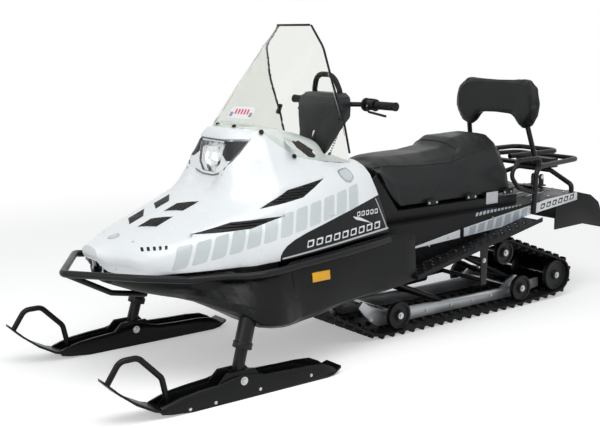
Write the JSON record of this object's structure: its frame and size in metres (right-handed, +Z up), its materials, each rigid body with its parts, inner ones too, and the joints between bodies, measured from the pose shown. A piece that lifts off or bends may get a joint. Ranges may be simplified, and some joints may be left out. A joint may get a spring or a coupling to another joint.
{
  "type": "snowmobile",
  "caption": "Wide-track utility snowmobile: two steered skis, opening hood with windshield, handlebar, long seat with backrest, rear rack and a rubber track under a tunnel.",
  "frame": {"origin": "on the ground under the middle of the overall length and width", "axes": "+X forward towards the ski tips, +Y to the rider's left, +Z up"},
  "size_m": [3.1158, 1.031, 1.4645],
  "materials": {
    "amber_lens": "moulded reflector",
    "black_alloy": "satin",
    "black_steel": "satin powder coat",
    "bright_steel": "turned",
    "clear_lens": "clear lens",
    "clear_sheet": "bent clear sheet",
    "cord_plastic": "coiled cord",
    "engine_alloy": "cast",
    "flap_rubber": "moulded",
    "moulded_black": "moulded, fine grain",
    "pad_vinyl": "grained vinyl",
    "rail_alloy": "extruded",
    "red_lens": "moulded lens",
    "seat_vinyl": "grained vinyl",
    "ski_plastic": "moulded",
    "track_rubber": "moulded",
    "tunnel_paint": "satin",
    "wheel_plastic": "moulded",
    "white_paint": "gloss moulding"
  },
  "bodies": {
    "chassis": {"backrest_cushion": "seat_vinyl", "backrest_posts": "black_steel", "belly_pan": "moulded_black", "bogie_wheels": "wheel_plastic", "bumper": "black_steel", "console": "moulded_black", "damper": "black_steel", "drive_axle": "bright_steel", "engine_block": "engine_alloy", "grab_handles": "black_steel", "hood_hinge": "black_steel", "idler_wheels": "wheel_plastic", "rack": "black_steel", "rack_hoop": "black_steel", "running_board_left": "black_alloy", "running_board_right": "black_alloy", "seat_base": "moulded_black", "seat_cushion": "seat_vinyl", "side_reflectors": "amber_lens", "slide_rails": "rail_alloy", "snow_flap": "flap_rubber", "strut_sleeve_left": "black_steel", "strut_sleeve_right": "black_steel", "suspension_arms": "black_steel", "tail_lamp": "red_lens", "tow_hitch": "black_steel", "track": "track_rubber", "tunnel": "tunnel_paint", "wheel_axles": "bright_steel"},
    "hood_body": {"hood": "white_paint", "hood_vents": "moulded_black", "headlamp": "clear_lens", "windshield": "clear_sheet", "windshield_trim": "flap_rubber"},
    "steering": {"handlebar": "black_steel", "grips": "flap_rubber", "hand_controls": "moulded_black", "grab_loop": "black_steel", "bar_pad": "pad_vinyl", "steering_column": "black_steel", "tether_cord": "cord_plastic", "tether_clip": "moulded_black"},
    "leg_left_body": {"ski_leg_left": "black_steel"},
    "leg_right_body": {"ski_leg_right": "black_steel"},
    "ski_left_body": {"ski_left": "ski_plastic"},
    "ski_right_body": {"ski_right": "ski_plastic"}
  },
  "joints": [
    {"name": "steering_turn", "type": "hinge", "parent": "chassis", "child": "steering", "pos_m": [0.13185, 0, 1.104], "axis": [-0.5, 0, 0.866], "range_deg": [-35, 35]},
    {"name": "leg_turn_left", "type": "hinge", "parent": "chassis", "child": "leg_left_body", "pos_m": [0.96785, 0.4535, 0.075], "axis": [-0.2755, -0.0285, 0.9609], "range_deg": [-28, 28]},
    {"name": "leg_turn_right", "type": "hinge", "parent": "chassis", "child": "leg_right_body", "pos_m": [0.96785, -0.4535, 0.075], "axis": [-0.2755, 0.0285, 0.9609], "range_deg": [-28, 28]},
    {"name": "ski_tilt_left", "type": "hinge", "parent": "leg_left_body", "child": "ski_left_body", "pos_m": [0.96785, 0.4535, 0.075], "axis": [0, -1, 0], "range_deg": [-8, 15]},
    {"name": "ski_tilt_right", "type": "hinge", "parent": "leg_right_body", "child": "ski_right_body", "pos_m": [0.96785, -0.4535, 0.075], "axis": [0, -1, 0], "range_deg": [-8, 15]},
    {"name": "hood_open", "type": "hinge", "parent": "chassis", "child": "hood_body", "pos_m": [1.32785, 0, 0.487], "axis": [0, 1, 0], "range_deg": [0, 65]}
  ],
  "couplings": [
    {"joint": "leg_turn_left", "follows": "steering_turn", "ratio": 0.8},
    {"joint": "leg_turn_right", "follows": "steering_turn", "ratio": 0.8}
  ]
}
